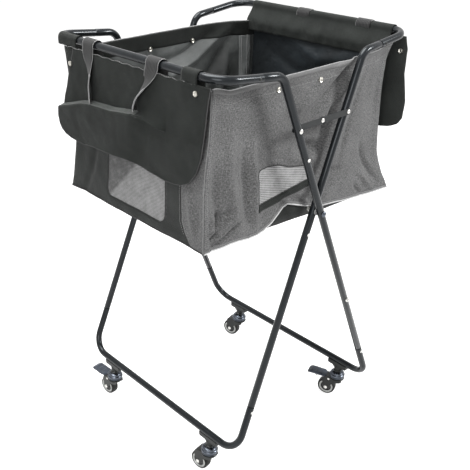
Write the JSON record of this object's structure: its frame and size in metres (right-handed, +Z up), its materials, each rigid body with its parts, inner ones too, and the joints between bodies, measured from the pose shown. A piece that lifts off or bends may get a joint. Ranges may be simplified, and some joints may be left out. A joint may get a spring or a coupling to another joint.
{
  "type": "ball hopper",
  "caption": "Folding ball hopper: a cloth ball bag hung between two crossed bent-tube loops that stand on swivel casters.",
  "frame": {"origin": "on the floor under the middle of the object", "axes": "+X towards the rear handle bar, -Y towards the right long side, +Z up"},
  "size_m": [0.6062, 0.574, 0.9653],
  "materials": {
    "black_cloth": "woven polyester",
    "black_paint": "gloss powder coat",
    "board": "plain",
    "dark_steel": "pressed, plated",
    "fork_paint": "pressed, painted",
    "heather_cloth": "woven heather polyester",
    "nylon": "plain",
    "pedal_steel": "pressed, painted",
    "rim_plastic": "moulded",
    "rubber": "matte",
    "zinc": "zinc plated"
  },
  "bodies": {
    "front_loop": {"front_base_tube": "black_paint", "front_leg_right": "black_paint", "front_leg_left": "black_paint", "front_end_bar": "black_paint", "pivot_bolt_right": "zinc", "pivot_bolt_left": "zinc", "pivot_spacer_right": "nylon", "pivot_spacer_left": "nylon", "pivot_nut_right": "zinc", "pivot_nut_left": "zinc", "front_stay_rivet_right": "zinc", "front_stay_rivet_left": "zinc", "caster_bracket_rear_right": "black_paint", "caster_bracket_rear_left": "black_paint", "swivel_stem_rear_right": "dark_steel", "swivel_stem_rear_left": "dark_steel", "bag_side_right": "heather_cloth", "bag_side_left": "heather_cloth", "bag_end_front": "black_cloth", "bag_base_tray": "black_cloth", "base_board": "board", "front_flap": "black_cloth", "front_strap": "black_cloth"},
    "rear_loop": {"rear_base_tube": "black_paint", "rear_leg_right": "black_paint", "rear_leg_left": "black_paint", "rear_end_bar": "black_paint", "rear_stay_rivet_right": "zinc", "rear_stay_rivet_left": "zinc", "caster_bracket_front_right": "black_paint", "caster_bracket_front_left": "black_paint", "swivel_stem_front_right": "dark_steel", "swivel_stem_front_left": "dark_steel", "bag_end_rear": "black_cloth", "rear_flap": "black_cloth", "rear_strap": "black_cloth"},
    "front_stay_right": {"front_stay_right": "black_paint", "stay_knuckle_right": "zinc"},
    "rear_stay_right": {"rear_stay_right": "black_paint"},
    "front_stay_left": {"front_stay_left": "black_paint", "stay_knuckle_left": "zinc"},
    "rear_stay_left": {"rear_stay_left": "black_paint"},
    "swivel_front_right": {"fork_front_right": "fork_paint", "axle_front_right": "zinc"},
    "wheel_front_right": {"tyre_front_right": "rubber", "rim_front_right": "rim_plastic"},
    "swivel_front_left": {"fork_front_left": "fork_paint", "axle_front_left": "zinc"},
    "wheel_front_left": {"tyre_front_left": "rubber", "rim_front_left": "rim_plastic"},
    "brake_front_left": {"brake_pedal_front_left": "pedal_steel"},
    "swivel_rear_right": {"fork_rear_right": "fork_paint", "axle_rear_right": "zinc"},
    "wheel_rear_right": {"tyre_rear_right": "rubber", "rim_rear_right": "rim_plastic"},
    "brake_rear_right": {"brake_pedal_rear_right": "pedal_steel"},
    "swivel_rear_left": {"fork_rear_left": "fork_paint", "axle_rear_left": "zinc"},
    "wheel_rear_left": {"tyre_rear_left": "rubber", "rim_rear_left": "rim_plastic"}
  },
  "joints": [
    {"name": "fold", "type": "hinge", "parent": "front_loop", "child": "rear_loop", "pos_m": [0, 0, 0.63099], "axis": [0, -1, 0], "range_deg": [0, 28]},
    {"name": "front_stay_right_hinge", "type": "hinge", "parent": "front_loop", "child": "front_stay_right", "pos_m": [-0.08205, -0.25304, 0.825], "axis": [0, -1, 0], "range_deg": [0, 80.58]},
    {"name": "rear_stay_right_hinge", "type": "hinge", "parent": "rear_loop", "child": "rear_stay_right", "pos_m": [0.08205, -0.25304, 0.825], "axis": [0, -1, 0], "range_deg": [-80.58, 0]},
    {"name": "front_stay_left_hinge", "type": "hinge", "parent": "front_loop", "child": "front_stay_left", "pos_m": [-0.08205, 0.25304, 0.825], "axis": [0, -1, 0], "range_deg": [0, 80.58]},
    {"name": "rear_stay_left_hinge", "type": "hinge", "parent": "rear_loop", "child": "rear_stay_left", "pos_m": [0.08205, 0.25304, 0.825], "axis": [0, -1, 0], "range_deg": [-80.58, 0]},
    {"name": "swivel_front_right_turn", "type": "hinge", "parent": "rear_loop", "child": "swivel_front_right", "pos_m": [-0.2195, -0.174, 0.06], "axis": [0, 0, 1], "continuous": true},
    {"name": "wheel_front_right_spin", "type": "hinge", "parent": "swivel_front_right", "child": "wheel_front_right", "pos_m": [-0.22298, -0.14924, 0.0235], "axis": [-0.9903, -0.1392, 0], "continuous": true},
    {"name": "swivel_front_left_turn", "type": "hinge", "parent": "rear_loop", "child": "swivel_front_left", "pos_m": [-0.2195, 0.194, 0.06], "axis": [0, 0, 1], "continuous": true},
    {"name": "wheel_front_left_spin", "type": "hinge", "parent": "swivel_front_left", "child": "wheel_front_left", "pos_m": [-0.22168, 0.2189, 0.0235], "axis": [-0.9962, -0.0872, 0], "continuous": true},
    {"name": "brake_front_left_press", "type": "hinge", "parent": "swivel_front_left", "child": "brake_front_left", "pos_m": [-0.22116, 0.21293, 0.052], "axis": [-0.9962, -0.0872, 0], "range_deg": [0, 18]},
    {"name": "swivel_rear_right_turn", "type": "hinge", "parent": "front_loop", "child": "swivel_rear_right", "pos_m": [0.2195, -0.194, 0.06], "axis": [0, 0, 1], "continuous": true},
    {"name": "wheel_rear_right_spin", "type": "hinge", "parent": "swivel_rear_right", "child": "wheel_rear_right", "pos_m": [0.21013, -0.17082, 0.0235], "axis": [-0.9272, -0.3746, 0], "continuous": true},
    {"name": "brake_rear_right_press", "type": "hinge", "parent": "swivel_rear_right", "child": "brake_rear_right", "pos_m": [0.21238, -0.17638, 0.052], "axis": [-0.9272, -0.3746, 0], "range_deg": [0, 18]},
    {"name": "swivel_rear_left_turn", "type": "hinge", "parent": "front_loop", "child": "swivel_rear_left", "pos_m": [0.2195, 0.174, 0.06], "axis": [0, 0, 1], "continuous": true},
    {"name": "wheel_rear_left_spin", "type": "hinge", "parent": "swivel_rear_left", "child": "wheel_rear_left", "pos_m": [0.21345, 0.19826, 0.0235], "axis": [-0.9703, -0.2419, 0], "continuous": true}
  ],
  "couplings": [
    {"joint": "front_stay_right_hinge", "follows": "fold", "ratio": 2.876},
    {"joint": "rear_stay_right_hinge", "follows": "fold", "ratio": -2.876},
    {"joint": "front_stay_left_hinge", "follows": "fold", "ratio": 2.876},
    {"joint": "rear_stay_left_hinge", "follows": "fold", "ratio": -2.876}
  ]
}
